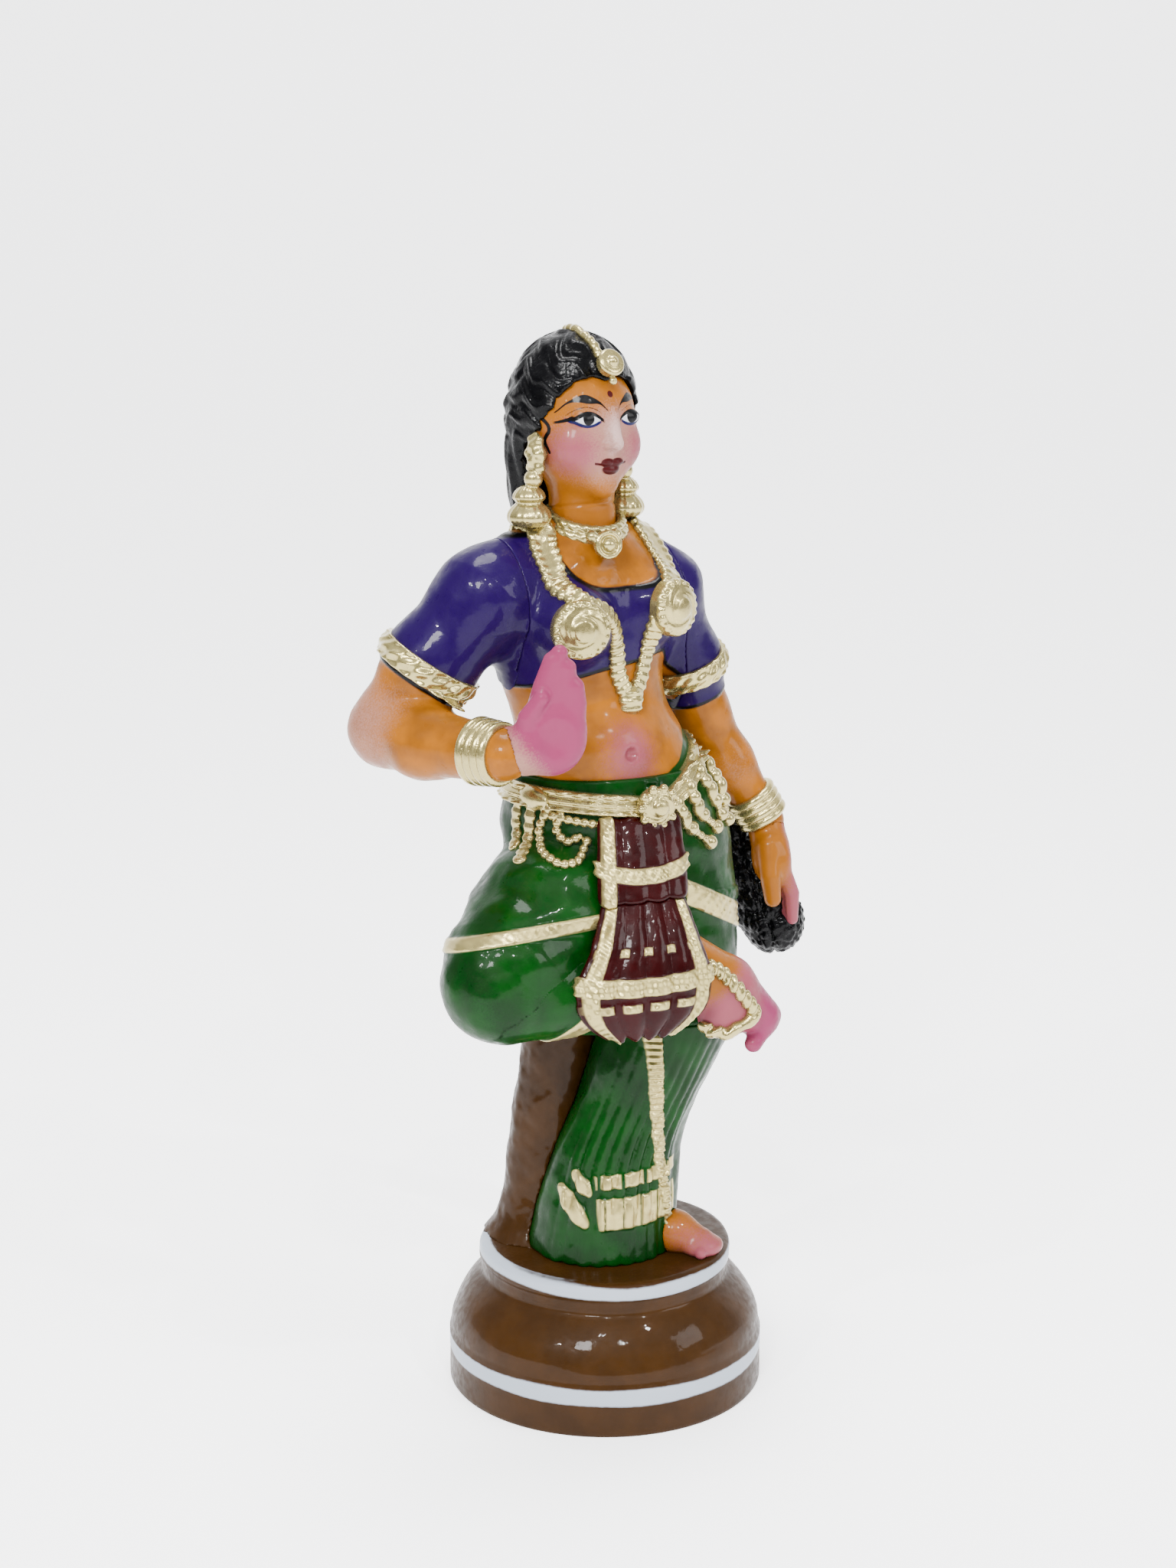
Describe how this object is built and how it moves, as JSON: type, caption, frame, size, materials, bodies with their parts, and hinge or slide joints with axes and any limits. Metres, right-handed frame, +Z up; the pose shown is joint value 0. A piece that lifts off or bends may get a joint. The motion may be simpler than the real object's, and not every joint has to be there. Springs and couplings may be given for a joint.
{
  "type": "dancing doll figurine",
  "caption": "Free-standing painted clay figurine of a classical dancer on one leg, leaning on a stump, on a stepped round plinth.",
  "frame": {"origin": "centre of the plinth's underside, on the surface it stands on", "axes": "+Z up, -Y the way the doll faces, +X the doll's own left"},
  "size_m": [0.138, 0.0903, 0.3004],
  "materials": {
    "clay_brown": "glossy varnished paint over moulded clay",
    "board": "matt board",
    "wire": "plain drawn wire",
    "wood": "plain turned stick",
    "green_paint": "glossy varnished paint over moulded clay",
    "maroon_paint": "glossy varnished paint over moulded clay",
    "skin_paint": "varnished paint with pink airbrushing",
    "sleeve_paint": "glossy varnished paint over moulded clay",
    "black_paint": "glossy varnished paint over moulded clay",
    "gold_paint": "pale gold paint over moulded relief"
  },
  "bodies": {
    "root": {"plinth": "clay_brown", "stump": "clay_brown", "base_plate": "board", "right_arm_wire": "wire", "left_arm_wire": "wire", "neck_peg": "wood", "leg_rod": "wood", "stump_peg": "wood", "leg_drape": "green_paint", "hip_drape": "green_paint", "raised_thigh": "green_paint", "raised_shin": "green_paint", "apron_tier": "maroon_paint", "apron_fan": "maroon_paint", "head": "skin_paint", "right_hand": "skin_paint", "left_hand": "skin_paint", "raised_foot": "skin_paint", "standing_foot": "skin_paint", "right_arm": "sleeve_paint", "left_arm": "sleeve_paint", "torso": "sleeve_paint", "hair": "black_paint", "plait": "black_paint", "right_armlet": "gold_paint", "left_armlet": "gold_paint", "right_bangles": "gold_paint", "left_bangles": "gold_paint", "right_earring": "gold_paint", "left_earring": "gold_paint", "forehead_ornament": "gold_paint", "choker": "gold_paint", "long_necklace": "gold_paint", "right_chest_disc": "gold_paint", "left_chest_disc": "gold_paint", "belt": "gold_paint", "buckle": "gold_paint", "right_belt_swag": "gold_paint", "left_belt_swag": "gold_paint", "anklet": "gold_paint"}
  },
  "joints": []
}
